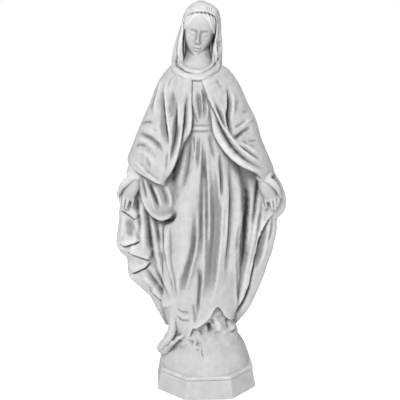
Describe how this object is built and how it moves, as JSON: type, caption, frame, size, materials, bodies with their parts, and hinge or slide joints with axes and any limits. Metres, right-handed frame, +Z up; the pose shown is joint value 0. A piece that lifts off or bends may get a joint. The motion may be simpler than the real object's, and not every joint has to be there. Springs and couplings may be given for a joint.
{
  "type": "garden statue",
  "caption": "Cast stone garden statue of a robed and veiled woman, head bowed and hands open at her sides, standing on a globe with a snake underfoot, on an eight-sided plinth",
  "frame": {"origin": "centre of the underside of the plinth, on the ground", "axes": "+Z up along the figure's height, -Y towards the viewer who faces the statue, +X to that viewer's right"},
  "size_m": [0.3549, 0.216, 0.8028],
  "materials": {
    "cast_stone": "pale cast stone with a dark grey antique wash left in the folds and light worn ridges"
  },
  "bodies": {
    "root": {"statue": "cast_stone"}
  },
  "joints": []
}
